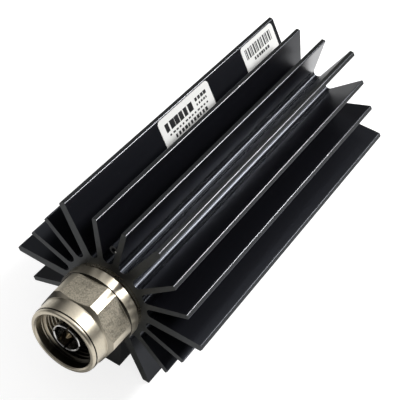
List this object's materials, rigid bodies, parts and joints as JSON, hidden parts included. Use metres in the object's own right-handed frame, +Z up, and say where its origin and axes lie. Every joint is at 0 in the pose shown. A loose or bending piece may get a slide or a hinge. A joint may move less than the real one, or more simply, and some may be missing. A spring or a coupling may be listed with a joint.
{
  "type": "rf dummy load",
  "caption": "Dry coaxial dummy load: black hexagonal finned heat sink on a solid foot, with a nickel-plated type N plug and a free-turning coupling nut.",
  "frame": {"origin": "middle of the foot's resting face", "axes": "+Z up from the foot, +Y along the heat sink away from the plug, the plug towards -Y"},
  "size_m": [0.0562, 0.118, 0.0488],
  "materials": {
    "black_anodised": "black anodised extrusion, saw-cut ends a little paler",
    "black_anodised_plug": "black anodised, turned",
    "bare_aluminium": "turned, uncoated",
    "nickel": "brass with satin nickel plating",
    "silver_plated": "brass with bright white-bronze or silver plating",
    "spring_bronze": "phosphor bronze",
    "spring_steel": "spring steel",
    "black_rubber": "silicone rubber",
    "white_insulator": "PTFE",
    "white_ceramic": "alumina with a resistive film",
    "label_film": "white polyester film"
  },
  "bodies": {
    "load": {"heat_sink": "black_anodised", "nut_snap_ring": "spring_bronze", "nut_gasket": "black_rubber", "connector_body": "nickel", "outer_contact": "silver_plated", "centre_pin": "silver_plated", "front_bead": "white_insulator", "rear_bead": "white_insulator", "body_seal": "black_rubber", "resistor_front_cap": "silver_plated", "resistor_rod": "white_ceramic", "resistor_rear_cap": "silver_plated", "load_housing": "bare_aluminium", "ground_contact": "spring_bronze", "disc_spring": "spring_steel", "end_plug": "black_anodised_plug", "end_plug_seal": "black_rubber", "name_label": "label_film", "serial_label": "label_film"},
    "nut": {"coupling_nut": "nickel"}
  },
  "joints": [
    {"name": "nut_spin", "type": "hinge", "parent": "load", "child": "nut", "pos_m": [0, -0.06, 0.0244], "axis": [0, 1, 0], "continuous": true}
  ]
}
